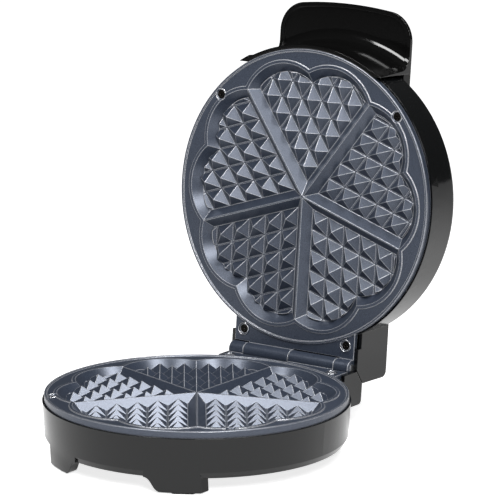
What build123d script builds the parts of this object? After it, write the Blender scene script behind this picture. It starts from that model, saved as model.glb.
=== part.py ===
from build123d import *
import math
import os

# Electric heart waffle maker with its lid open, in millimetres.
# +X is to the user's right, +Y is towards the hinge, +Z is up, and the feet stand on Z = 0.
# Each half is first drawn about the parting plane (Z = 0 there) with its centre on the plate's.

# Driving dimensions of the whole
parting_height = 42.0       # parting plane of the two plates above the table
open_angle = 95.0           # how far the lid opens
parting_gap = 0.3           # gap left between the closed plates
seat_gap = 0.1              # gap between pieces of one half that only lie against each other
footprint_middle_y = 37.5   # from the plate centre back to the middle of the open footprint

# Cooking plates
plate_radius = 100.0
flange_depth = 4.8
rim_lip_width = 2.0
field_depth = 1.0           # flat field below the rim lip
heart_count = 5
cusp_inset = 15.8           # from the plate's edge in to where two lobes meet
lobe_inset = 8.0            # from the plate's edge in to a lobe's tip
pocket_depth = 6.3
pocket_wall_run = 6.2       # how far the sloping wall stands in from its top edge
bead_width = 2.0
bead_rise = 0.6
plate_floor = 3.0           # metal under the pocket floor
pan_inset = 7.0             # from the plate's edge in to the pan's side, under the flange
pan_draft = 3.0             # how much narrower the pan is at its back
pan_air = 1.0               # round the pan, inside the housing

# Ribs between the hearts and the pyramids in them
rib_top_depth = 0.7
rib_top_width = 0.9
rib_foot_width = 11.6
pyramid_pitch = 13.9        # along a rib
pyramid_height = 5.7
pyramid_valley = 0.9
pyramid_rows = 6
pyramid_draft = 0.5         # how far a cut side leans in over the pocket's depth
first_row_offset = 5.6      # square to the rib, from its middle to the first valley

# Hinge
hinge_reach = 10.5          # from the plate's edge back to the hinge axis
knuckle_radius = 5.5
knuckle_span = 48.6         # half the length of the knuckle row
knuckle_split = 37.0        # where a short knuckle meets a long one
knuckle_gap = 0.4
knuckle_clearance = 0.5
pin_radius = 2.5
pin_running_clearance = 0.05
tab_half_width = 48.6
tab_depth = 1.5             # top of the tab below the parting plane

# Screws that hold the plates
rim_screw_angle = 131.0
rim_screw_inset = 5.4
tab_screw_x = 41.75
tab_screw_inset = 14.2      # in front of the hinge axis
screw_radius = 1.5
screw_head_radius = 3.0
screw_head_height = 2.0
screw_drop = 0.4            # countersink below the parting plane
screw_length = 15.0
screw_hole_clearance = 0.2
countersink_radius = 4.0
countersink_depth = 1.2
boss_radius = 4.6

# Housings
shell_overhang = 1.3        # housing's rim beyond the plate's edge
shell_wall = 2.4
base_floor_height = 10.5
base_floor_thickness = 2.4
skirt_height = 14.5         # where the base wall steps in to the floor
base_wall_inset = 1.6       # outer wall at the skirt height, in from the rim
base_foot_inset = 3.9       # edge of the floor, in from the rim
lid_depth = 38.0
lid_crown = 3.0
lid_shoulder = 4.5
lid_wall_inset = 2.1        # outer wall below the shoulder, in from the rim

# Feet
foot_outer_x = 60.0
foot_inner_x = 37.0
foot_root_x = 27.0
foot_thickness = 8.4
pad_length = 15.0
pad_width = 4.4
pad_rise = 1.0
pad_recess = 1.5

# Hinge boxes on the two housings
box_half_width = 51.6
box_front = 26.5            # front of the box, in front of the hinge axis
box_step = 13.0             # step in its top edge, in front of the axis
box_corner = 1.5            # back end of its top edge, behind the axis
box_low_edge = 6.0
box_high_edge = 2.2
lid_box_reach = 10.9        # back of the lid's box, behind the axis
lid_box_slope = 10.0
lid_box_depth = 38.5
lid_box_round = 4.5
base_box_reach = 8.5
base_box_slope = 12.0
base_box_depth = 25.5
base_box_round = 3.0
box_draft = 1.5             # how far the back leans in over its height
cheek_clearance = 0.4

# Handle
handle_half_width = 52.6
handle_tongue = 27.7        # from the lid's rim out to the tongue's front
handle_corner = 20.0
handle_bow = 5.0
handle_top = 45.0
handle_thickness = 3.2
handle_skirt_proud = 2.7    # skirt's face beyond the lid's rim
handle_skirt_clearance = 0.4
handle_skirt_depth = 14.7   # from the rim's front back to the ends of the skirt
handle_flare = 4.6
handle_fillet = 9.0
handle_tail_length = 21.3   # from the lid's rim in to the end of the tail
scoop_depth = 1.3
scoop_border = 2.6
handle_screw_x = 26.0
handle_screw_inset = 5.0    # from the end of the tail
handle_screw_radius = 2.0
handle_screw_head = 3.8

# Heating elements
element_inset = 28.0        # middle of the tube's ring, in from the pan's back edge
element_tube = 3.2
element_bend = 10.0
element_leg_x = 12.0
element_leg_gap = 26.5      # from the end of a leg to the hinge axis
element_pin_radius = 1.2
element_pin_length = 7.0
channel_wall = 2.2
channel_clearance = 0.1
channel_arc = 270.0
clamp_count = 3
clamp_length = 24.0
clamp_width = 9.0
clamp_thickness = 1.0
clamp_screw_radius = 1.6
clamp_screw_inset = 12.5    # from the tube's middle to the clamp's screw

# Reflectors
reflector_inset = 4.0       # from the pan's back edge
reflector_depth = 23.4
reflector_sheet = 0.8
reflector_rim = 5.0
reflector_corner = 3.0      # slant between the dish and its rim
reflector_post_inset = 12.0
reflector_post_radius = 3.4
reflector_screw_radius = 1.5
reflector_screw_length = 5.0
reflector_screw_head = 3.0
reflector_screw_head_height = 1.4

# Electrical pieces
terminal_width = 46.0
terminal_height = 11.0
terminal_depth = 9.0
terminal_count = 3
lead_radius = 1.5
fuse_y = 38.0
fuse_length = 11.0
fuse_radius = 2.2
thermostat_radius = 8.0
thermostat_height = 5.5
lamp_x = 10.0
lamp_inset = 43.3           # from the lid's rim
lamp_radius = 2.0
lamp_gap = 0.5              # between a lamp and its lens
lens_radius = 4.0
lens_flange = 5.6
lens_flange_height = 1.2
lens_proud = 1.0
lens_chamfer = 0.5
board_thickness = 1.6
board_margin = 9.0          # beyond the lamps
board_width = 16.0
board_drop = 8.0            # from the lid's skin to the board
board_post_radius = 2.4
board_post_x = 6.5          # from a lamp
board_post_y = 5.0
bush_radius = 4.0
bush_bore = 3.0
bush_flange = 5.4
bush_flange_thickness = 1.6
bush_nose = 4.0
bush_collar = 0.6           # inner collar beyond the bush's body
bush_taper = 0.8
bush_depth = 18.0           # cord entry below the parting plane
vent_y = -20.0
vent_count = 5
vent_length = 34.0
vent_width = 3.0
vent_pitch = 9.0

# Values worked out from those above
heart_angle = 360.0 / heart_count
lobe_step = heart_angle / 2
lobe_offset = lobe_step / 2
floor_z = -pocket_depth
plate_back = -(pocket_depth + plate_floor)
tube_z = plate_back - element_tube - channel_clearance
channel_back = tube_z - element_tube - channel_clearance
shell_rim = -flange_depth
cusp_radius = plate_radius - cusp_inset
lobe_tip_radius = plate_radius - lobe_inset
pan_top_radius = plate_radius - pan_inset
pan_bottom_radius = pan_top_radius - pan_draft
element_radius = pan_bottom_radius - element_inset
reflector_radius = pan_bottom_radius - reflector_inset
reflector_post_circle = reflector_radius - reflector_post_inset
hinge_y = plate_radius + hinge_reach
element_leg_end = hinge_y - element_leg_gap
rim_screw_radius = plate_radius - rim_screw_inset
tab_screw_y = hinge_y - tab_screw_inset
shell_radius = plate_radius + shell_overhang
base_wall_radius = shell_radius - base_wall_inset
base_foot_radius = shell_radius - base_foot_inset
lid_wall_radius = shell_radius - lid_wall_inset
box_front_y = hinge_y - box_front
box_step_y = hinge_y - box_step
box_corner_y = hinge_y + box_corner
lid_box_back = hinge_y + lid_box_reach
base_box_back = hinge_y + base_box_reach
terminal_back = base_box_back - box_draft - 2 * shell_wall
handle_reach = shell_radius + handle_tongue
handle_skirt_radius = shell_radius + handle_skirt_proud
handle_skirt_end_y = shell_radius - handle_skirt_depth
handle_tail_radius = shell_radius - handle_tail_length
handle_screw_y = handle_tail_radius + handle_screw_inset
lamp_y = lamp_inset - shell_radius


def polar(radius, angle):
    """Point at an angle from the hinge direction, clockwise seen from above."""
    turn = math.radians(angle)
    return radius * math.sin(turn), radius * math.cos(turn)


def upright(radius, bottom, top):
    """Vertical cylinder between two heights."""
    return Pos(0, 0, bottom) * Cylinder(radius, top - bottom, align=(Align.CENTER, Align.CENTER, Align.MIN))


def turned(points):
    """Solid of revolution about Z from (radius, height) points."""
    return revolve(make_face(Plane.XZ * Polyline(*points, close=True)), Axis.Z)


def side_profile(points, half_width):
    """Prism across X from (y, z) points."""
    face = make_face(Plane.YZ * Polyline(*points, close=True))
    return extrude(face, half_width, both=True)


def along_x(radius, start, end):
    return Pos((start + end) / 2, 0, 0) * Rot(0, 90, 0) * Cylinder(radius, end - start)


# Lobed pocket

def lobe_circle():
    """Centre distance and radius of a lobe, from its tip and the cusp it shares with the next."""
    half = math.radians(lobe_step / 2)
    across = cusp_radius * math.sin(half)
    along = cusp_radius * math.cos(half)
    centre = (lobe_tip_radius**2 - along**2 - across**2) / (2 * (lobe_tip_radius - along))
    return centre, lobe_tip_radius - centre


def lobed_solid(bottom, top, grow_bottom, grow_top):
    """Ten-lobed solid whose outline grows by the given amounts at its bottom and top."""
    centre, radius = lobe_circle()
    height = top - bottom
    middle = (bottom + top) / 2
    lobe = Cone(radius + grow_bottom, radius + grow_top, height)
    solid = Pos(0, 0, middle) * Cylinder(centre, height)
    for index in range(2 * heart_count):
        x, y = polar(centre, lobe_offset + index * lobe_step)
        solid += Pos(x, y, middle) * lobe
    return solid


# Ribs and pyramids

def ribs():
    """Ribs from the middle to the cusps, between the hearts."""
    top = -rib_top_depth
    points = [
        (-rib_foot_width / 2, floor_z),
        (-rib_top_width / 2, top),
        (rib_top_width / 2, top),
        (rib_foot_width / 2, floor_z),
    ]
    rib = extrude(make_face(Plane.XZ * Polyline(*points, close=True)), lobe_tip_radius, dir=(0, 1, 0))
    return [Rot(0, 0, -index * heart_angle) * rib for index in range(heart_count)]


def ridge_field(angle, side):
    """Parallel ridges beside a rib, on one side of it."""
    spacing = pyramid_pitch * math.sin(math.radians(heart_angle))
    half = (spacing - pyramid_valley) / 2
    field = []
    for row in range(pyramid_rows):
        middle = side * (first_row_offset + (row + 0.5) * spacing)
        points = [(middle - half, floor_z), (middle, floor_z + pyramid_height), (middle + half, floor_z)]
        ridge = extrude(make_face(Plane.XZ * Polyline(*points, close=True)), lobe_tip_radius, dir=(0, 1, 0))
        field.append(Rot(0, 0, -angle) * ridge)
    return field


def pyramids():
    """Pyramids of one heart, where the ridges beside its two ribs cross, cut off at the floor's edge."""
    floor = lobed_solid(floor_z, 0, -pocket_wall_run, -pocket_wall_run - pyramid_draft)
    crossing = []
    for ridge in ridge_field(0, 1):
        for other in ridge_field(heart_angle, -1):
            for pyramid in (ridge & other).solids():
                crossing += (floor & pyramid).solids()
    return crossing


# Cooking plate

def knuckle_spans():
    """Start and end of the knuckles that belong to one plate."""
    gap = knuckle_gap / 2
    return [(-knuckle_span, -knuckle_split - gap), (gap, knuckle_split - gap)]


def hinge_tab():
    """Tab behind the plate, with the knuckles of one half and room for the other half's."""
    tab_end = hinge_y - knuckle_radius - knuckle_clearance
    tab_start = math.sqrt(plate_radius**2 - tab_half_width**2) - rim_lip_width
    tab = side_profile(
        [(tab_start, -flange_depth), (tab_end, -flange_depth), (tab_end, -tab_depth), (tab_start, -tab_depth)],
        tab_half_width,
    )
    for start, end in knuckle_spans():
        web = side_profile(
            [
                (tab_end - knuckle_clearance, -flange_depth),
                (hinge_y, -knuckle_radius + knuckle_clearance),
                (hinge_y, -knuckle_clearance),
                (tab_end - knuckle_clearance, -tab_depth),
            ],
            (end - start) / 2,
        )
        tab += Pos((start + end) / 2, 0, 0) * web
        tab += Pos(0, hinge_y, 0) * along_x(knuckle_radius, start, end)
    return tab - Pos(0, hinge_y, 0) * along_x(
        pin_radius + pin_running_clearance, -knuckle_span - 1, knuckle_span + 1
    )


def plate_screw_places():
    rim = [polar(rim_screw_radius, side * rim_screw_angle) for side in (-1, 1)]
    return rim + [(side * tab_screw_x, tab_screw_y) for side in (-1, 1)]


def element_channel():
    """Two low walls under the plate that the heating tube lies between, and the clamp bosses."""
    inner = element_radius - element_tube - channel_clearance
    outer = element_radius + element_tube + channel_clearance
    walls = []
    for start in (inner - channel_wall, outer):
        points = [
            (start, plate_back + 0.5),
            (start + channel_wall, plate_back + 0.5),
            (start + channel_wall, channel_back),
            (start, channel_back),
        ]
        face = Rot(0, 0, 90 + (360 - channel_arc) / 2) * make_face(Plane.XZ * Polyline(*points, close=True))
        walls.append(revolve(face, Axis.Z, channel_arc))
    for x, y in clamp_screw_places():
        walls.append(Pos(x, y, 0) * upright(clamp_width / 2 - 0.5, channel_back, plate_back + 0.5))
    return walls


def clamp_angles():
    return [180 + (index - (clamp_count - 1) / 2) * 90 for index in range(clamp_count)]


def clamp_screw_places():
    return [polar(element_radius - clamp_screw_inset, angle) for angle in clamp_angles()]


def cooking_plate():
    """One cast plate, cooking face up at the parting plane."""
    lip = -parting_gap / 2
    field = -field_depth
    inside = plate_radius - rim_lip_width
    plate = turned(
        [
            (0, plate_back),
            (pan_bottom_radius, plate_back),
            (pan_top_radius, -flange_depth),
            (plate_radius, -flange_depth),
            (plate_radius, lip - 0.4),
            (plate_radius - 0.4, lip),
            (inside + 0.4, lip),
            (inside, field),
            (0, field),
        ]
    )
    plate += hinge_tab()
    plate += lobed_solid(field - 1, field + bead_rise, bead_width, bead_width - bead_rise / 2)
    plate += element_channel()
    pocket = lobed_solid(floor_z, 1, -pocket_wall_run, pocket_wall_run / pocket_depth)
    heart = pyramids()
    keep = ribs()
    for index in range(heart_count):
        keep += [Rot(0, 0, -index * heart_angle) * piece for piece in heart]
    plate -= pocket - keep
    for x, y in plate_screw_places():
        hole = upright(screw_radius + screw_hole_clearance, plate_back, 1)
        seat = upright(countersink_radius - 1, -countersink_depth - screw_head_height, 1)
        flare = Pos(0, 0, -countersink_depth / 2) * Cone(
            countersink_radius - 1, countersink_radius, countersink_depth
        )
        plate -= Pos(x, y, -screw_drop) * (hole + seat + flare)
    for x, y in clamp_screw_places():
        plate -= Pos(x, y, 0) * upright(clamp_screw_radius + 0.05, channel_back - 1, plate_back + 1)
    return plate


def plate_screws():
    """The four cross-head screws of one plate."""
    top = -screw_drop - countersink_depth
    screws = []
    for x, y in plate_screw_places():
        screw = upright(screw_head_radius - 0.1, top - screw_head_height, top)
        screw += upright(screw_radius, top - screw_length, top - screw_head_height)
        for turn in (0, 90):
            screw -= Pos(0, 0, top) * Rot(0, 0, turn) * Box(3.6, 0.9, 2.4)
        screws.append(Pos(x, y, 0) * screw)
    return screws


# Heating element, clamps and reflector

def heating_element():
    """Tubular heater bent to a horseshoe, with its two connection pins."""
    bend_x = element_leg_x + element_bend
    bend_y = math.sqrt((element_radius + element_bend) ** 2 - bend_x**2)
    meet = math.atan2(bend_y, bend_x)
    touch = (element_radius * math.cos(meet), element_radius * math.sin(meet))
    middle = (
        bend_x - element_bend * math.cos(meet / 2),
        bend_y - element_bend * math.sin(meet / 2),
    )
    right_leg = Line((element_leg_x, element_leg_end), (element_leg_x, bend_y))
    right_bend = ThreePointArc((element_leg_x, bend_y), middle, touch)
    ring = ThreePointArc(touch, (0, -element_radius), (-touch[0], touch[1]))
    left_bend = ThreePointArc((-touch[0], touch[1]), (-middle[0], middle[1]), (-element_leg_x, bend_y))
    left_leg = Line((-element_leg_x, bend_y), (-element_leg_x, element_leg_end))
    path = Wire([right_leg, right_bend, ring, left_bend, left_leg])
    start = Plane(origin=(element_leg_x, element_leg_end, 0), z_dir=(0, -1, 0))
    tube = sweep(start * Circle(element_tube), path)
    for side in (-1, 1):
        pin = Rot(-90, 0, 0) * upright(element_pin_radius, 0, element_pin_length)
        tube += Pos(side * element_leg_x, element_leg_end, 0) * pin
    return Pos(0, 0, tube_z) * tube


def element_clamps():
    """Sheet bars that hold the tube in its channel, each with its screw."""
    clamps = []
    for angle in clamp_angles():
        middle = element_radius - clamp_screw_inset + clamp_length / 2 - clamp_width / 2
        bar = Pos(0, middle, channel_back - clamp_thickness / 2) * Box(clamp_width, clamp_length, clamp_thickness)
        screw_y = element_radius - clamp_screw_inset
        hole = upright(clamp_screw_radius + 0.1, channel_back - 2, channel_back + 1)
        bar -= Pos(0, screw_y, 0) * hole
        head = channel_back - clamp_thickness
        screw = upright(clamp_screw_radius, head, plate_back) + upright(clamp_width / 3, head - 1.2, head)
        clamps += [Rot(0, 0, -angle) * bar, Rot(0, 0, -angle) * Pos(0, screw_y, 0) * screw]
    return clamps


def reflector_post_places():
    return [polar(reflector_post_circle, angle) for angle in (45, 135, 225, 315)]


def reflector():
    """Bright sheet dish behind the heating element."""
    back = -reflector_depth
    front = back + reflector_sheet
    rim = front + reflector_rim
    inner_corner = reflector_corner + 0.4 * reflector_sheet
    dish = turned(
        [
            (0, back),
            (reflector_radius - reflector_corner, back),
            (reflector_radius, back + reflector_corner),
            (reflector_radius, rim),
            (reflector_radius - reflector_sheet, rim),
            (reflector_radius - reflector_sheet, back + inner_corner),
            (reflector_radius - inner_corner, front),
            (0, front),
        ]
    )
    for x, y in reflector_post_places():
        dish -= Pos(x, y, 0) * upright(reflector_screw_radius + 0.2, back - 1, front + 1)
    notch = 2 * (element_leg_x + 2 * element_tube)
    dish -= Pos(0, reflector_radius, rim) * Box(notch, 12, 2 * reflector_rim - 1)
    return dish


def reflector_screws():
    screws = []
    front = -reflector_depth + reflector_sheet
    for x, y in reflector_post_places():
        screw = upright(reflector_screw_radius, front - reflector_screw_length, front)
        screw += upright(reflector_screw_head, front, front + reflector_screw_head_height)
        screws.append(Pos(x, y, 0) * screw)
    return screws


# Housings, drawn with their inside facing up at the parting plane

def box_outline(back, slope, depth, inset):
    """Side view of a hinge box hanging from the parting plane, inset all round by a wall."""
    low = -box_low_edge
    high = -box_high_edge
    return [
        (box_front_y, low),
        (box_step_y, low),
        (box_step_y, high),
        (box_corner_y - inset, high),
        (back - inset, -slope),
        (back - box_draft - inset, -depth + inset),
        (box_front_y, -depth + inset),
    ]


def hinge_box(back, slope, depth, rounding):
    """Outer solid of a hinge box."""
    solid = side_profile(box_outline(back, slope, depth, 0), box_half_width)
    lower = solid.edges().filter_by(Axis.X).sort_by(Axis.Z)[:2].sort_by(Axis.Y)[-1:]
    return fillet(lower, rounding)


def hinge_box_hollow(back, slope, depth):
    """Inside of a hinge box, open at the parting plane."""
    start = math.sqrt(plate_radius**2 - tab_half_width**2) + 2
    end = back - shell_wall
    floor = -depth + shell_wall
    lean = box_draft * (depth - shell_wall - slope) / (depth - slope)
    return side_profile(
        [(start, 5), (end, 5), (end, -slope), (end - lean, floor), (start, floor)],
        tab_half_width + cheek_clearance,
    )


def plate_bosses(shell_bottom):
    """Posts that the plate screws drive into, up to the flange."""
    bosses = []
    for x, y in plate_screw_places():
        bosses.append(Pos(x, y, 0) * upright(boss_radius, shell_bottom, shell_rim))
    return bosses


def pan_room():
    """Room for the plate's pan, with a little air round it."""
    return turned(
        [
            (0, plate_back - pan_air),
            (pan_bottom_radius + pan_air, plate_back - pan_air),
            (pan_top_radius + pan_air, shell_rim),
            (pan_top_radius + pan_air, 1),
            (0, 1),
        ]
    )


def screw_pilots(depth):
    pilots = []
    for x, y in plate_screw_places():
        pilots.append(Pos(x, y, 0) * upright(screw_radius + 0.05, -depth, 1))
    return pilots


def reflector_posts(bottom):
    back = -reflector_depth
    return [Pos(x, y, 0) * upright(reflector_post_radius, bottom, back) for x, y in reflector_post_places()]


def lead_passage(start, end):
    """Opening in the round wall where the heater's pins and leads pass to the hinge box."""
    width = 2 * (element_leg_x + 2 * element_tube)
    return Pos(0, (start + end) / 2, tube_z) * Box(width, end - start, 2.6 * element_tube)


def housing(outer, inner, box, hollow, inside):
    """Round housing joined to its hinge box, with the posts that carry the plate and reflector."""
    shell = (box - hollow) + outer - inner
    within = outer + box
    shell += [within & boss for boss in plate_bosses(inside)]
    shell -= pan_room()
    shell += [within & post for post in reflector_posts(inside)]
    shell -= lead_passage(reflector_radius, shell_radius + 3)
    for x, y in plate_screw_places():
        shell -= Pos(x, y, 0) * upright(screw_radius + 0.05, -screw_length - 3, 1)
    for x, y in reflector_post_places():
        pilot_end = -reflector_depth - reflector_screw_length - 1
        shell -= Pos(x, y, 0) * upright(reflector_screw_radius + 0.05, pilot_end, -reflector_depth + 1)
    return shell


def foot_front():
    """Front view of one foot, with the curved inner side that runs up into the wall."""
    bottom = pad_rise - parting_height
    top = skirt_height - parting_height + 1
    root = base_floor_height - parting_height
    lines = Curve() + [
        Line((foot_outer_x, top), (foot_outer_x, bottom)),
        Line((foot_outer_x, bottom), (foot_inner_x, bottom)),
        Spline((foot_inner_x, bottom), (foot_root_x, root), tangents=[(-1, 0.25), (-1, 0.12)]),
        Line((foot_root_x, root), (foot_root_x, top)),
        Line((foot_root_x, top), (foot_outer_x, top)),
    ]
    return extrude(make_face(Plane.XZ * lines), shell_radius + 1, dir=(0, -1, 0))


def foot():
    """Front right foot, a slice of the base wall carried down to the table."""
    wall = turned(
        [
            (0, -parting_height),
            (base_wall_radius - 1, -parting_height),
            (base_wall_radius, skirt_height - parting_height),
            (0, skirt_height - parting_height),
        ]
    )
    slab = (wall & foot_front()) - Pos(0, foot_thickness, 0) * wall
    x, y = pad_place()
    seat = Box(pad_length + 0.4, pad_width + 0.4, 2 * pad_recess)
    return slab - Pos(x, y, pad_rise - parting_height) * Rot(0, 0, pad_turn()) * seat


def pad_place():
    """Middle of the front right foot's sole."""
    x = (foot_inner_x + foot_outer_x) / 2
    y = -math.sqrt((base_wall_radius - 1) ** 2 - x**2) + foot_thickness / 2
    return x, y


def pad_turn():
    x, y = pad_place()
    return math.degrees(math.atan2(x, -y))


def four_corners(solid):
    """A front right piece and its mirror images at the other three corners."""
    right = [solid, mirror(solid, Plane.XZ)]
    return right + [mirror(piece, Plane.YZ) for piece in right]


def foot_pads():
    x, y = pad_place()
    height = pad_rise + pad_recess - seat_gap
    pad = Pos(0, 0, height / 2) * Box(pad_length, pad_width, height)
    pad = fillet(pad.edges().filter_by(Axis.Z), pad_width / 2 - 0.1)
    return four_corners(Pos(x, y, -parting_height) * Rot(0, 0, pad_turn()) * pad)


def vents(floor):
    """Row of slots under the base that lets the heat out."""
    slots = []
    for index in range(vent_count):
        x = (index - (vent_count - 1) / 2) * vent_pitch
        slot = extrude(SlotOverall(vent_length, vent_width), base_floor_thickness + 2)
        slots.append(Pos(x, vent_y, floor - 1) * Rot(0, 0, 90) * slot)
    return slots


def base_shell():
    """Lower housing with its hinge box, posts, vents and four feet."""
    floor = base_floor_height - parting_height
    inside = floor + base_floor_thickness
    skirt = skirt_height - parting_height
    outer = turned(
        [(0, floor), (base_foot_radius, floor), (base_wall_radius, skirt), (shell_radius, shell_rim), (0, shell_rim)]
    )
    inner = turned(
        [
            (0, inside),
            (base_foot_radius - shell_wall, inside),
            (base_wall_radius - shell_wall, skirt),
            (shell_radius - shell_wall, shell_rim),
            (shell_radius - shell_wall, 1),
            (0, 1),
        ]
    )
    box = hinge_box(base_box_back, base_box_slope, base_box_depth, base_box_round)
    hollow = hinge_box_hollow(base_box_back, base_box_slope, base_box_depth)
    shell = housing(outer, inner, box, hollow, inside - shell_wall / 2)
    shell += four_corners(foot())
    shell -= vents(floor)
    shell -= bush_place() * Rot(-90, 0, 0) * upright(bush_radius + seat_gap, -6, 6)
    return shell


def crown_height(radius):
    """Height of the lid's outer crown at a distance from its middle, below the parting plane when flipped."""
    edge = lid_wall_radius - lid_shoulder
    sphere = (edge**2 + lid_crown**2) / (2 * lid_crown)
    return -lid_depth - lid_crown + sphere - math.sqrt(sphere**2 - radius**2)


def lid_skin(inset):
    """Solid inside the lid's outer skin, or inside its inner one when inset by the wall."""
    top = -lid_depth + inset
    wall = lid_wall_radius - inset
    rim = shell_radius - inset
    edge = lid_wall_radius - lid_shoulder
    shoulder = wall - edge
    wall_point = (wall, top + shoulder)
    top_point = (edge, top)
    lines = Curve() + [
        Line((0, shell_rim), (rim, shell_rim)),
        Line((rim, shell_rim), wall_point),
        ThreePointArc(wall_point, (wall - 0.29 * shoulder, top + 0.29 * shoulder), top_point),
        ThreePointArc(top_point, (edge / 2, crown_height(edge / 2) + inset), (0, crown_height(0) + inset)),
        Line((0, crown_height(0) + inset), (0, shell_rim)),
    ]
    return revolve(make_face(Plane.XZ * lines), Axis.Z)


def lid_shell():
    """Upper housing with its hinge box, posts, lamp windows and handle screw holes."""
    outer = lid_skin(0)
    inner = lid_skin(shell_wall) + upright(shell_radius - shell_wall, shell_rim - 0.5, 1)
    box = hinge_box(lid_box_back, lid_box_slope, lid_box_depth, lid_box_round)
    hollow = hinge_box_hollow(lid_box_back, lid_box_slope, lid_box_depth)
    shell = housing(outer, inner, box, hollow, -lid_depth)
    for side in (-1, 1):
        shell -= Pos(side * lamp_x, lamp_y, 0) * upright(lens_radius + seat_gap, -lid_depth - 6, -20)
        shell -= Pos(side * handle_screw_x, -handle_screw_y, 0) * upright(handle_screw_radius + 0.2, -50, -30)
    return shell


# Handle

def handle_profile(inset):
    """Side section of the handle turned about the lid's axis, or of its scoop when inset."""
    skirt = handle_skirt_radius - inset
    under = -(handle_top - handle_thickness) - inset
    bend = handle_fillet
    corner = (skirt + 0.29 * bend, under + 0.29 * bend)
    return (skirt, under + bend), corner, (skirt + bend, under)


def handle_body():
    """Skirt round the lid's front and the tongue above it, before the scoop is cut."""
    skirt, corner, under = handle_profile(0)
    reach = handle_reach + handle_corner
    wall = lid_wall_radius + handle_skirt_clearance
    rim = shell_radius + handle_skirt_clearance
    edge = lid_wall_radius - lid_shoulder
    bend = wall - edge
    seat = -lid_depth - handle_skirt_clearance
    tail = crown_height(handle_tail_radius) - handle_skirt_clearance
    lines = Curve() + [
        Line((plate_radius + 0.4, -0.3), (skirt[0] - 1.2, -0.3)),
        ThreePointArc((skirt[0] - 1.2, -0.3), (skirt[0] - 0.35, -0.65), (skirt[0], -1.5)),
        Line((skirt[0], -1.5), skirt),
        ThreePointArc(skirt, corner, under),
        Line(under, (reach, under[1])),
        Line((reach, under[1]), (reach, -handle_top)),
        Line((reach, -handle_top), (handle_tail_radius + 4, -handle_top)),
        Line((handle_tail_radius + 4, -handle_top), (handle_tail_radius, tail)),
        Line((handle_tail_radius, tail), (edge, seat)),
        ThreePointArc((edge, seat), (wall - 0.29 * bend, seat + 0.29 * bend), (wall, seat + bend)),
        Line((wall, seat + bend), (rim, shell_rim + 0.2)),
        Line((rim, shell_rim + 0.2), (plate_radius + 0.4, shell_rim + 0.2)),
        Line((plate_radius + 0.4, shell_rim + 0.2), (plate_radius + 0.4, -0.3)),
    ]
    return revolve(make_face(Plane.XZ * lines), Axis.Z)


def handle_outline(half_width, reach, corner):
    """Plan of the tongue, from the lid out to its bowed front."""
    shoulder = -reach + handle_bow
    bow = Curve() + [
        Line((half_width, 0), (half_width, shoulder)),
        ThreePointArc((half_width, shoulder), (0, -reach), (-half_width, shoulder)),
        Line((-half_width, shoulder), (-half_width, 0)),
        Line((-half_width, 0), (half_width, 0)),
    ]
    face = make_face(bow)
    return fillet(face.vertices().sort_by(Axis.Y)[:2], corner)


def handle():
    """Handle moulding: a skirt round the front of the lid that runs out into a scooped tongue."""
    outline = handle_outline(handle_half_width, handle_reach, handle_corner)
    flare = math.degrees(math.atan2(handle_flare, handle_top))
    plan = Pos(0, 0, -handle_top - 0.5) * extrude(outline, handle_top + 1, taper=-flare)
    width = 3 * handle_half_width
    front = Pos(0, -handle_skirt_end_y - width / 2, -handle_top / 2) * Box(width, width, handle_top + 4)
    tail_height = 2 * (handle_top - lid_depth) + lid_crown
    tail = Pos(0, -handle_tail_radius, -handle_top) * Box(2 * handle_half_width, handle_tail_length, tail_height)
    body = handle_body() & plan & (front + tail)
    inner_outline = handle_outline(
        handle_half_width - scoop_border, handle_reach - scoop_border, handle_corner - scoop_border
    )
    skirt, corner, under = handle_profile(scoop_depth)
    reach = handle_reach + handle_corner
    scoop = Curve() + [
        Line((skirt[0], 1), skirt),
        ThreePointArc(skirt, corner, under),
        Line(under, (reach, under[1])),
        Line((reach, under[1]), (reach, 1)),
        Line((reach, 1), (skirt[0], 1)),
    ]
    scoop = revolve(make_face(Plane.XZ * scoop), Axis.Z)
    body -= scoop & extrude(Pos(0, 0, -handle_top) * inner_outline, handle_top + 2)
    for side in (-1, 1):
        pilot = upright(handle_screw_radius + 0.05, -handle_top + 1.2, -30)
        body -= Pos(side * handle_screw_x, -handle_screw_y, 0) * pilot
    return body


def handle_screws():
    """Two screws from inside the lid up into the handle."""
    screws = []
    for side in (-1, 1):
        head = -lid_depth + shell_wall + 0.1
        screw = upright(handle_screw_radius, -handle_top + 1.6, head)
        screw += upright(handle_screw_head, head, head + 2.2)
        for turn in (0, 90):
            screw -= Pos(0, 0, head + 2.2) * Rot(0, 0, turn) * Box(4.4, 1, 2.6)
        screws.append(Pos(side * handle_screw_x, -handle_screw_y, 0) * screw)
    return screws


# Electrical pieces

def leads():
    """Sleeved leads from the heater's pins to the hinge box."""
    start = element_leg_end + element_pin_length + 0.1
    lead = Rot(-90, 0, 0) * upright(lead_radius, 0, terminal_back - terminal_depth - seat_gap - start)
    return [Pos(side * element_leg_x, start, tube_z) * lead for side in (-1, 1)]


def terminal_block():
    """Moulded block with its screw wells, inside the base's hinge box."""
    middle = terminal_back - terminal_depth / 2
    block = Pos(0, middle, tube_z) * Box(terminal_width, terminal_depth, terminal_height)
    pitch = terminal_width / terminal_count
    for index in range(terminal_count):
        x = (index - (terminal_count - 1) / 2) * pitch
        block -= Pos(x, middle, tube_z) * upright(2.0, 1.5, 20)
        wire_way = Rot(90, 0, 0) * Cylinder(1.2, terminal_depth + 2)
        block -= Pos(x, middle, tube_z - 2) * wire_way
    return block


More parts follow.
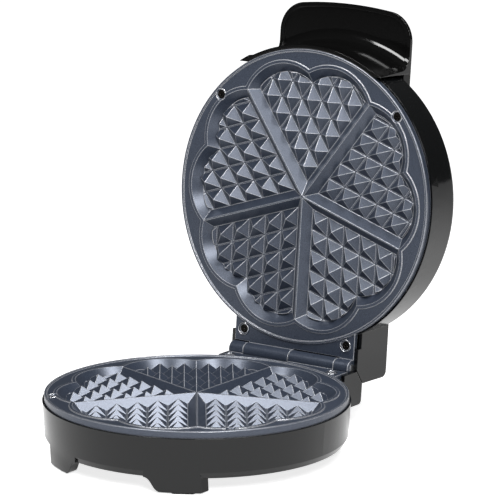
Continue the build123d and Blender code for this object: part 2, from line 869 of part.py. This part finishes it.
def cord_bush():
    """Rubber bush in the back of the hinge box, with the bore that a supply cord runs through."""
    lip = bush_flange_thickness
    groove_end = -shell_wall - seat_gap
    bush = upright(bush_flange, seat_gap, lip)
    bush += upright(bush_radius, groove_end - lip, lip)
    bush += upright(bush_radius + bush_collar, groove_end - lip, groove_end)
    bush += Pos(0, 0, lip + bush_nose / 2) * Cone(bush_radius, bush_radius - bush_taper, bush_nose)
    bush -= upright(bush_bore, groove_end - lip - 1, lip + bush_nose + 1)
    return Rot(-90, 0, 0) * bush


def bush_place():
    """Seat of the bush's flange on the drafted back of the base's hinge box."""
    lean = math.atan2(box_draft, base_box_depth - base_box_slope)
    back = base_box_back - (bush_depth - base_box_slope) * math.tan(lean)
    return Pos(0, back, -bush_depth) * Rot(-math.degrees(lean), 0, 0)


def thermal_fuse():
    """Fuse link in its strap under the lower plate."""
    body = Rot(0, 90, 0) * Cylinder(fuse_radius, fuse_length)
    strap = Pos(0, 0, fuse_radius / 2) * Box(4, 2 * fuse_radius + 1.6, fuse_radius)
    ears = Pos(0, 0, fuse_radius - 0.4) * Box(4, 4 * fuse_radius + 6, 0.8)
    return Pos(0, fuse_y, plate_back - fuse_radius - seat_gap) * (body + strap + ears)


def thermostat():
    """Disc thermostat that is pressed on the back of the upper plate."""
    back = plate_back - seat_gap
    case = upright(thermostat_radius, back - thermostat_height, back)
    case += upright(thermostat_radius + 2, back - 1.4, back)
    for side in (-1, 1):
        case += Pos(side * 4, 0, back - thermostat_height - 1.5) * Box(0.8, 6, 4)
    return case


def lens_crown():
    """Height of the lid's crown at the lamps."""
    return crown_height(math.hypot(lamp_x, lamp_y))


def lamp_lens(side):
    """Domed lens that shows through the lid."""
    crown = lens_crown()
    seat = crown + shell_wall + 0.5
    face = crown - lens_proud
    lens = upright(lens_radius, face + lens_chamfer, seat)
    lens += upright(lens_flange, seat, seat + lens_flange_height)
    lens += Pos(0, 0, face + lens_chamfer / 2) * Cone(lens_radius - 2 * lens_chamfer, lens_radius, lens_chamfer)
    return Pos(side * lamp_x, lamp_y, 0) * lens


def lamp_board():
    """Board behind the lenses with its two lamps."""
    crown = lens_crown()
    skin = crown + shell_wall
    bottom = skin + board_drop
    length = 2 * (lamp_x + board_margin)
    board = Pos(0, lamp_y, bottom + board_thickness / 2) * Box(length, board_width, board_thickness)
    for side in (-1, 1):
        lamp = upright(lamp_radius, skin + 0.5 + lens_flange_height + lamp_gap, bottom)
        board += Pos(side * lamp_x, lamp_y, 0) * lamp
        post = upright(board_post_radius, skin + 0.4, bottom)
        board += Pos(side * (lamp_x + board_post_x), lamp_y + board_post_y, 0) * post
    return board


def lid_leads():
    """Sleeved leads from the upper heater's pins into the lid's hinge box."""
    start = element_leg_end + element_pin_length + 0.1
    lead = Rot(-90, 0, 0) * upright(lead_radius, 0, lid_box_back - shell_wall - 6 - start)
    return [Pos(side * element_leg_x, start, tube_z) * lead for side in (-1, 1)]


def hinge_pin():
    """Steel pin through all four knuckles, a little upset at both ends."""
    return Pos(0, hinge_y, 0) * along_x(pin_radius, -knuckle_span - 0.2, knuckle_span + 0.2)


# Placing the halves

def lower(shape):
    """Place a lower-half shape, drawn about the parting plane, in the whole."""
    return Pos(0, -footprint_middle_y, parting_height) * shape


def lid_open():
    hinge = Pos(0, hinge_y, 0)
    return Pos(0, -footprint_middle_y, parting_height) * hinge * Rot(-open_angle, 0, 0) * Pos(0, -hinge_y, 0)


def upper(shape):
    """Place an upper-half shape, drawn facing up like the lower, on the open lid."""
    return lid_open() * Rot(0, 180, 0) * shape


def group(shapes):
    """One compound of separate solids."""
    solids = []
    for shape in shapes:
        solids += shape.solids()
    return Compound(children=solids)


def write(name, shape):
    export_step(shape, f"parts/{name}.step")
    print(name, len(shape.solids()), round(shape.volume))


def write_group(name, shapes, place):
    write(name, group([place(shape) for shape in shapes]))


def main():
    os.makedirs("parts", exist_ok=True)
    plate = cooking_plate()
    write("lower_plate", lower(plate))
    write("upper_plate", upper(plate))
    write("base_shell", lower(base_shell()))
    write("lid_shell", upper(lid_shell()))
    write("handle", upper(handle()))
    write("hinge_pin", lower(hinge_pin()))
    write_group("lower_plate_screws", plate_screws(), lower)
    write_group("upper_plate_screws", plate_screws(), upper)
    write_group("handle_screws", handle_screws(), upper)
    write_group("foot_pads", foot_pads(), lower)
    element = heating_element()
    write("lower_heating_element", lower(element))
    write("upper_heating_element", upper(element))
    write_group("lower_element_clamps", element_clamps(), lower)
    write_group("upper_element_clamps", element_clamps(), upper)
    write("lower_reflector", lower(reflector()))
    write("upper_reflector", upper(reflector()))
    write_group("lower_reflector_screws", reflector_screws(), lower)
    write_group("upper_reflector_screws", reflector_screws(), upper)
    write("cord_bush", lower(bush_place() * cord_bush()))
    write("terminal_block", lower(terminal_block()))
    write_group("lower_leads", leads(), lower)
    write_group("upper_leads", lid_leads(), upper)
    write("thermal_fuse", lower(thermal_fuse()))
    write("thermostat", upper(thermostat()))
    write("red_lamp_lens", upper(lamp_lens(1)))
    write("green_lamp_lens", upper(lamp_lens(-1)))
    write("lamp_board", upper(lamp_board()))


main()
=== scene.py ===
import math

import bmesh
import bpy
from mathutils import Matrix, Vector


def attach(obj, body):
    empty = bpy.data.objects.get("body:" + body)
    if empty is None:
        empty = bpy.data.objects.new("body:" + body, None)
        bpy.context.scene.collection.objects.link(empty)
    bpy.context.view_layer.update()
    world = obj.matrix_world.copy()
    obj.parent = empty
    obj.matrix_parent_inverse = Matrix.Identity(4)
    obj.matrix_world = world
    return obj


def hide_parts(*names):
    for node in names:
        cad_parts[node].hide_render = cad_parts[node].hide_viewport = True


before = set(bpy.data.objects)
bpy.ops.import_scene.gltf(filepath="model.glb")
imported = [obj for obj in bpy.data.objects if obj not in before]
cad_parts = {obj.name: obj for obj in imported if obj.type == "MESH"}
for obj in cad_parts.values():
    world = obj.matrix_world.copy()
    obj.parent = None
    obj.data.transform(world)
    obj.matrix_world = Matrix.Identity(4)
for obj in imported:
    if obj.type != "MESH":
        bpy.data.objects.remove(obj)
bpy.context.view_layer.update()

mm = 0.001

# The lower plate's middle and the hinge axis, both on the parting plane
parting_height = 42 * mm
plate_middle = Vector((0.0, -37.5 * mm, parting_height))
hinge_axis = Vector((0.0, 73 * mm, parting_height))
lid_angle = math.radians(95)

# Countersinks of the plate screws: places in millimetres from the plate's middle, on its lowered field
screw_places = [(-71.4, -62.1), (71.4, -62.1), (-41.75, 96.3), (41.75, 96.3)]
field_drop = 1.0 * mm
countersink_radius = 4.0 * mm
rim_radius = 0.32 * mm
rim_steps = 10
ring_steps = 48

# New meshes: points within this reach become one, a point where more faces meet than this is the
# crown's pole, and a fold past this angle stays a crease
merge_distance = 0.001 * mm
pole_faces = 60
crease_angle = math.radians(8)

# Directions in which the shader feels for a rounded edge
bevel_samples = 6

# Finishes with one grain: darkest and palest colour, roughness, grain size and depth, metallic, pieces
plain_finishes = {
    # Heater sheath: brown-grey steel that the heat has left with little shine
    "heat-dulled steel tube": (
        "#4f4a45", "#6c6761", 0.5, 1.5 * mm, 0.01 * mm, 0.9,
        ["lower_heating_element", "upper_heating_element"],
    ),
    # Rolled sheet: pale metal with a soft reflection
    "bright rolled aluminium": (
        "#c9cbcc", "#dddfe0", 0.28, 2 * mm, 0.005 * mm, 1.0, ["lower_reflector", "upper_reflector"],
    ),
    # Glass yarn: matt cream, its weave drawn as a coarse grain
    "woven glass sleeve": (
        "#cfcabb", "#e6e2d6", 0.85, 0.4 * mm, 0.06 * mm, 0.0, ["lower_leads", "upper_leads"],
    ),
    # Fired ceramic: dry, pale and even
    "unglazed steatite": (
        "#cdc6b5", "#dcd6c8", 0.7, 0.3 * mm, 0.01 * mm, 0.0, ["terminal_block", "thermostat"],
    ),
    # Rubber from a blasted mould: black without a gloss
    "moulded black rubber": (
        "#141414", "#1d1d1d", 0.75, 0.5 * mm, 0.03 * mm, 0.0, ["cord_bush", "foot_pads"],
    ),
    # Pressed board: dull brown
    "phenolic laminate": ("#6b5130", "#7d6038", 0.6, 0.8 * mm, 0.01 * mm, 0.0, ["lamp_board"]),
}

# Camera, from a fit of the plate rims, screws and feet: metres, and the lens in millimetres
camera_azimuth = math.radians(34.935)
camera_elevation = math.radians(12.501)
camera_roll = math.radians(0.31)
camera_distance = 2.453
camera_lens = 269.5
camera_aim = (0.01672, -0.00134, 0.13253)

# Softboxes, in metres and watts: place, the point it faces, side, power
softboxes = {
    "key_softbox": ((1.25, -1.25, 1.25), (0.0, 0.0, 0.12), 0.72, 30),
    "right_top_softbox": ((0.30, 0.02, 0.85), (0.0, -0.04, 0.04), 0.26, 4.6),
    "left_top_softbox": ((-0.16, -0.40, 0.85), (0.0, -0.04, 0.04), 0.26, 4.6),
}

# Floor, in metres: its glow rises from near the object outwards, and shows weaker in gloss and glass
floor_side = 16
glow_reach = (0.2, 1.0)
glow_strength = (0.8, 1.0)
glow_mirrored = 0.45

# World: dim on the object, white to the camera
white = (1, 1, 1, 1)
world_strength = (0.05, 1.0)


def linear(hex_colour):
    """Linear RGBA of an sRGB hex value, by the standard's curve."""
    channels = [int(hex_colour[i : i + 2], 16) / 255 for i in (1, 3, 5)]
    return [c / 12.92 if c <= 0.04045 else ((c + 0.055) / 1.055) ** 2.4 for c in channels] + [1.0]


def connect(tree, node, inputs):
    """Sets a node's inputs, and links those that are given another node's output."""
    for name, value in dict(inputs).items():
        if isinstance(value, bpy.types.NodeSocket):
            tree.links.new(value, node.inputs[name])
        else:
            node.inputs[name].default_value = value


def add(tree, kind, inputs=(), output=None, stops=(), **settings):
    """Adds a node with its properties, colour stops and inputs, and gives it or one of its outputs."""
    node = tree.nodes.new("ShaderNode" + kind)
    for name, value in settings.items():
        setattr(node, name, value)
    for stop, (place, colour) in enumerate(stops):
        node.color_ramp.elements[stop].position = place
        node.color_ramp.elements[stop].color = linear(colour)
    connect(tree, node, inputs)
    return node if output is None else node.outputs[output]


def new_material(name):
    """Material with an empty node tree."""
    material = bpy.data.materials.new(name)
    material.use_nodes = True
    material.node_tree.nodes.clear()
    return material, material.node_tree


def new_finish(name):
    """Material of the object, with its tree, its principled shader and its object coordinates."""
    material, tree = new_material(name)
    shader = add(tree, "BsdfPrincipled")
    add(tree, "OutputMaterial", {"Surface": shader.outputs["BSDF"]})
    return material, tree, shader, add(tree, "TexCoord", output="Object")


def edge_mask(tree, radius, lean):
    """A mask that reaches 1 where a rounded normal leans off the true one, as on edges; and that normal."""
    rounded = add(tree, "Bevel", {"Radius": radius}, "Normal", samples=bevel_samples)
    flat = add(tree, "NewGeometry", output="Normal")
    match = add(tree, "VectorMath", {0: rounded, 1: flat}, "Value", operation="DOT_PRODUCT")
    mask = add(tree, "MapRange", {"Value": match, "From Min": 1.0, "From Max": 1.0 - lean}, "Result")
    return mask, rounded


def grained(tree, shader, texture, stops, roughness, height, strength, metallic):
    """Carries one grain into a finish's colour, gloss and relief."""
    low, high = roughness
    connect(tree, shader, {
        "Base Color": add(tree, "ValToRGB", {"Fac": texture}, "Color", stops),
        "Roughness": add(tree, "MapRange", {"Value": texture, "To Min": low, "To Max": high}, "Result"),
        "Normal": add(tree, "Bump", {"Height": texture, "Distance": height, "Strength": strength}, "Normal"),
        "Metallic": metallic,
    })


def nonstick_coat():
    """Sprayed non-stick coat on cast aluminium: satin slate, a fine sparkle and painted highlights along the
    edges.
    """
    material, tree, shader, point = new_finish("sprayed non-stick coat on cast aluminium")
    grit, grit_height = 0.5 * mm, 0.03 * mm
    edge_radius, edge_share = 0.55 * mm, 0.8
    speckle = add(tree, "TexNoise", {"Vector": point, "Scale": 1 / grit, "Detail": 3.0}, "Fac")
    # Painted highlight: along edges the coat colour is mixed towards near-white, standing in for the light
    # that rib and pyramid edges catch
    edges, rounded = edge_mask(tree, edge_radius, lean=0.07)
    pale = add(tree, "MapRange", {"Value": edges, "To Min": 0.0, "To Max": edge_share}, "Result")
    coat = add(tree, "ValToRGB", {"Fac": speckle}, "Color", [(0.35, "#2c3341"), (0.65, "#474f5e")])
    edge_lightening = add(tree, "ValToRGB", {"Fac": speckle}, "Color", [(0.3, "#d4d6dc"), (0.7, "#eeeff2")])
    relief = {"Height": speckle, "Distance": grit_height, "Strength": 0.5, "Normal": rounded}
    connect(tree, shader, {
        "Base Color": add(tree, "Mix", {"Factor": pale, "A": coat, "B": edge_lightening}, "Result", data_type="RGBA"),
        "Roughness": add(tree, "MapRange", {"Value": speckle, "To Min": 0.27, "To Max": 0.37}, "Result"),
        "Normal": add(tree, "Bump", relief, "Normal"),
        "Metallic": 0.4,
        "IOR": 1.7,
    })
    return material


def polished_abs(name, low, high):
    """High-gloss moulded ABS: near-black, a clear reflection with the faintest waviness."""
    material, tree, shader, point = new_finish(name)
    wave_length, wave_height = 12 * mm, 0.02 * mm
    dust_size, edge_radius = 0.8 * mm, 0.5 * mm
    wave = add(tree, "TexNoise", {"Vector": point, "Scale": 1 / wave_length, "Detail": 1.0}, "Fac")
    dust = add(tree, "TexNoise", {"Vector": point, "Scale": 1 / dust_size, "Detail": 4.0}, "Fac")
    rounded = add(tree, "Bevel", {"Radius": edge_radius}, "Normal", samples=bevel_samples)
    relief = {"Height": wave, "Distance": wave_height, "Strength": 0.25, "Normal": rounded}
    connect(tree, shader, {
        "Base Color": add(tree, "ValToRGB", {"Fac": dust}, "Color", [(0.3, low), (0.8, high)]),
        "Roughness": add(tree, "MapRange", {"Value": dust, "To Min": 0.07, "To Max": 0.13}, "Result"),
        "Normal": add(tree, "Bump", relief, "Normal"),
        "IOR": 1.53,
        "Specular IOR Level": 0.32,
    })
    return material


def blackened_steel():
    """Black-oxide screw steel: dark satin metal, paler towards its edges."""
    material, tree, shader, point = new_finish("blackened screw steel")
    blotch_size, edge_radius, edge_share = 0.6 * mm, 0.15 * mm, 0.5
    blotch = add(tree, "TexNoise", {"Vector": point, "Scale": 1 / blotch_size, "Detail": 2.0}, "Fac")
    edges, rounded = edge_mask(tree, edge_radius, lean=0.2)
    edge_lightening = add(tree, "MapRange", {"Value": edges, "To Min": 0.0, "To Max": edge_share}, "Result")
    dark = add(tree, "ValToRGB", {"Fac": blotch}, "Color", [(0.4, "#131313"), (0.6, "#23211f")])
    blend = {"Factor": edge_lightening, "A": dark, "B": linear("#8a8782")}
    connect(tree, shader, {
        "Base Color": add(tree, "Mix", blend, "Result", data_type="RGBA"),
        "Roughness": add(tree, "MapRange", {"Value": blotch, "To Min": 0.3, "To Max": 0.45}, "Result"),
        "Normal": rounded,
        "Metallic": 0.9,
    })
    return material


def plated_steel():
    """Zinc-plated steel: grey bright metal with a faint grain drawn out along X, as on the hinge pin."""
    material, tree, shader, point = new_finish("zinc-plated steel")
    line_width, line_depth, stretch = 0.25 * mm, 0.01 * mm, (0.05, 1.0, 1.0)
    drawn = add(tree, "Mapping", {"Vector": point, "Scale": stretch}, "Vector")
    lines = add(tree, "TexNoise", {"Vector": drawn, "Scale": 1 / line_width, "Detail": 3.0}, "Fac")
    greys = [(0.4, "#8f9296"), (0.6, "#b5b7ba")]
    grained(tree, shader, lines, greys, roughness=(0.22, 0.38), height=line_depth, strength=0.4, metallic=1)
    return material


def turned_aluminium():
    """Cast aluminium bared where a countersink was cut: a bright ring through the coat."""
    material, tree, shader, point = new_finish("bare turned aluminium")
    mark_width, mark_depth = 0.3 * mm, 0.01 * mm
    marks = add(tree, "TexNoise", {"Vector": point, "Scale": 1 / mark_width, "Detail": 2.0}, "Fac")
    silvers = [(0.4, "#c3c5c9"), (0.6, "#e4e5e8")]
    grained(tree, shader, marks, silvers, roughness=(0.2, 0.32), height=mark_depth, strength=0.4, metallic=1)
    return material


def plain_finish(name, low, high, roughness, grain_size, depth, metallic):
    """A matt or dull finish with its own grain, for the pieces that mostly sit inside."""
    material, tree, shader, point = new_finish(name)
    swing = 0.06
    gloss = (roughness - swing, roughness + swing)
    texture = add(tree, "TexNoise", {"Vector": point, "Scale": 1 / grain_size, "Detail": 3.0}, "Fac")
    colours = [(0.4, low), (0.6, high)]
    grained(tree, shader, texture, colours, gloss, height=depth, strength=0.6, metallic=metallic)
    return material


def clear_lens(name, low, high):
    """Tinted clear polycarbonate with a polished face: a deep colour that light shines through."""
    material, tree, shader, point = new_finish(name)
    swirl_size = 3 * mm
    swirl = add(tree, "TexNoise", {"Vector": point, "Scale": 1 / swirl_size, "Detail": 2.0}, "Fac")
    connect(tree, shader, {
        "Base Color": add(tree, "ValToRGB", {"Fac": swirl}, "Color", [(0.4, low), (0.6, high)]),
        "Roughness": add(tree, "MapRange", {"Value": swirl, "To Min": 0.05, "To Max": 0.12}, "Result"),
        "IOR": 1.58,
        "Transmission Weight": 0.6,
    })
    return material


def dress(material, *names):
    """Puts a material alone on each named piece."""
    for name in names:
        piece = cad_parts[name]
        piece.data.materials.clear()
        piece.data.materials.append(material)


def dress_nodes():
    """Gives each piece of the waffle maker its finish."""
    housing = polished_abs("polished black ABS", "#08090a", "#0d0e0f")
    grip = polished_abs("polished black ABS of the handle", "#060606", "#0a0a0a")
    steel = plated_steel()
    dress(nonstick_coat(), "lower_plate", "upper_plate")
    dress(housing, "base_shell", "lid_shell")
    dress(grip, "handle")
    dress(blackened_steel(), "lower_plate_screws", "upper_plate_screws")
    dress(steel, "hinge_pin", "handle_screws", "lower_reflector_screws", "upper_reflector_screws")
    dress(steel, "lower_element_clamps", "upper_element_clamps", "thermal_fuse")
    for name, (low, high, roughness, grain_size, depth, metallic, pieces) in plain_finishes.items():
        dress(plain_finish(name, low, high, roughness, grain_size, depth, metallic), *pieces)
    dress(clear_lens("clear red polycarbonate", "#a30d0a", "#c21510"), "red_lamp_lens")
    dress(clear_lens("clear green polycarbonate", "#0d7a2c", "#179a3c"), "green_lamp_lens")


def new_object(name, data):
    """Object in the scene for a mesh, a lamp or the camera."""
    thing = bpy.data.objects.new(name, data)
    bpy.context.scene.collection.objects.link(thing)
    return thing


def new_piece(name, mesh, material):
    """Smooth piece from a bmesh, which it uses up."""
    data = bpy.data.meshes.new(name)
    mesh.to_mesh(data)
    mesh.free()
    data.materials.append(material)
    data.shade_smooth()
    return new_object(name, data)


def smooth_crown():
    """The lid housing as one welded skin without the crown's poles, so that its middle shades evenly."""
    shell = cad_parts["lid_shell"]
    mesh = bmesh.new()
    mesh.from_mesh(shell.data)
    bmesh.ops.remove_doubles(mesh, verts=mesh.verts, dist=merge_distance)
    poles = [vert for vert in mesh.verts if len(vert.link_faces) > pole_faces]
    bmesh.ops.dissolve_verts(mesh, verts=poles)
    skin = new_piece("lid_shell_skin", mesh, shell.data.materials[0])
    skin.data.set_sharp_from_angle(angle=crease_angle)
    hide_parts("lid_shell")
    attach(skin, "lid")


def plate_places():
    """Where a plate sits, by the body that carries it: the upper one is mirrored, then swung open."""
    lower = Matrix.Translation(plate_middle)
    swing = Matrix.Rotation(-lid_angle, 4, "X")
    opened = Matrix.Translation(hinge_axis) @ swing @ Matrix.Translation(-hinge_axis)
    upper = opened @ lower @ Matrix.Diagonal((1, 1, -1, 1))
    return {"base": lower, "lid": upper}


def countersink_rings():
    """The thin bright edge round each plate screw's countersink: a small round section spun in a ring."""
    metal = turned_aluminium()
    for body, place in plate_places().items():
        mesh = bmesh.new()
        for x, y in screw_places:
            middle = Vector((x * mm, y * mm, -field_drop))
            rim_middle = middle + Vector((countersink_radius, 0, 0))
            start = mesh.verts.new(middle + Vector((countersink_radius + rim_radius, 0, 0)))
            turn = {"angle": math.tau, "use_merge": True}
            bmesh.ops.spin(mesh, geom=[start], cent=rim_middle, axis=(0, 1, 0), steps=rim_steps, **turn)
            section = [edge for edge in mesh.edges if not edge.link_faces]
            bmesh.ops.spin(mesh, geom=section, cent=middle, axis=(0, 0, 1), steps=ring_steps, **turn)
        bmesh.ops.remove_doubles(mesh, verts=mesh.verts, dist=merge_distance)
        bmesh.ops.transform(mesh, matrix=place, verts=mesh.verts)
        bmesh.ops.recalc_face_normals(mesh, faces=mesh.faces)
        rings = new_piece(f"{body}_countersink_rings", mesh, metal)
        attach(rings, body)


def studio_floor():
    """Large sheet of white paper under the object's shadow. Its glow is seen, but lights nothing matt."""
    bpy.ops.mesh.primitive_plane_add(size=floor_side)
    floor = bpy.context.object
    floor.name = "studio_floor"
    material, tree = new_material("matt white paper")
    ray = add(tree, "LightPath").outputs
    glossy, clear = ray["Is Glossy Ray"], ray["Is Transmission Ray"]
    mirrored = add(tree, "Math", {0: glossy, 1: clear}, 0, operation="MAXIMUM")
    weaker = add(tree, "Math", {0: mirrored, 1: glow_mirrored}, 0, operation="MULTIPLY")
    seen = add(tree, "Math", {0: weaker, 1: ray["Is Camera Ray"]}, 0, operation="MAXIMUM")
    point = add(tree, "TexCoord", output="Object")
    reach = add(tree, "VectorMath", {0: point}, "Value", operation="LENGTH")
    level = add(tree, "MapRange", {
        "Value": reach,
        "From Min": glow_reach[0], "From Max": glow_reach[1],
        "To Min": glow_strength[0], "To Max": glow_strength[1],
    }, "Result")
    paper = add(tree, "BsdfDiffuse", {"Color": linear("#e8e8e8")}, 0)
    glow = add(tree, "Emission", {"Color": white, "Strength": level}, 0)
    glowing = add(tree, "AddShader", {0: paper, 1: glow}, 0)
    surface = add(tree, "MixShader", {0: seen, 1: paper, 2: glowing}, 0)
    add(tree, "OutputMaterial", {"Surface": surface})
    floor.data.materials.append(material)


def softbox(name, place, target, side, power):
    """Square area light that faces a point."""
    light = bpy.data.lights.new(name, "AREA")
    light.shape = "SQUARE"
    light.size = side
    light.energy = power
    lamp = new_object(name, light)
    lamp.location = place
    lamp.rotation_euler = (Vector(target) - Vector(place)).to_track_quat("-Z", "Y").to_euler()


def studio_light():
    """The softboxes, in a world that is dim on the object and white to the camera."""
    for name, (place, target, side, power) in softboxes.items():
        softbox(name, place, target, side, power)
    world = bpy.data.worlds.new("studio")
    world.use_nodes = True
    tree = world.node_tree
    seen = add(tree, "LightPath", output="Is Camera Ray")
    dim, full = world_strength
    strength = add(tree, "MapRange", {"Value": seen, "To Min": dim, "To Max": full}, "Result")
    connect(tree, tree.nodes["Background"], {"Color": white, "Strength": strength})
    bpy.context.scene.world = world


def camera():
    """Camera behind its aim on the photograph's line of sight, rolled about that line."""
    a, e, roll = camera_azimuth, camera_elevation, camera_roll
    back = Vector((math.sin(a) * math.cos(e), -math.cos(a) * math.cos(e), math.sin(e)))
    right = Vector((math.cos(a), math.sin(a), 0))
    up = back.cross(right)
    tilted_right = right * math.cos(roll) + up * math.sin(roll)
    tilted_up = up * math.cos(roll) - right * math.sin(roll)
    data = bpy.data.cameras.new("camera")
    data.sensor_width = 36
    data.lens = camera_lens
    data.clip_end = 50
    eye = new_object("camera", data)
    turn = Matrix((tilted_right, tilted_up, back)).transposed().to_4x4()
    eye.matrix_world = Matrix.Translation(Vector(camera_aim) + back * camera_distance) @ turn
    bpy.context.scene.camera = eye


camera()
studio_floor()
studio_light()
dress_nodes()
countersink_rings()
smooth_crown()
bpy.context.scene.view_settings.view_transform = "Standard"
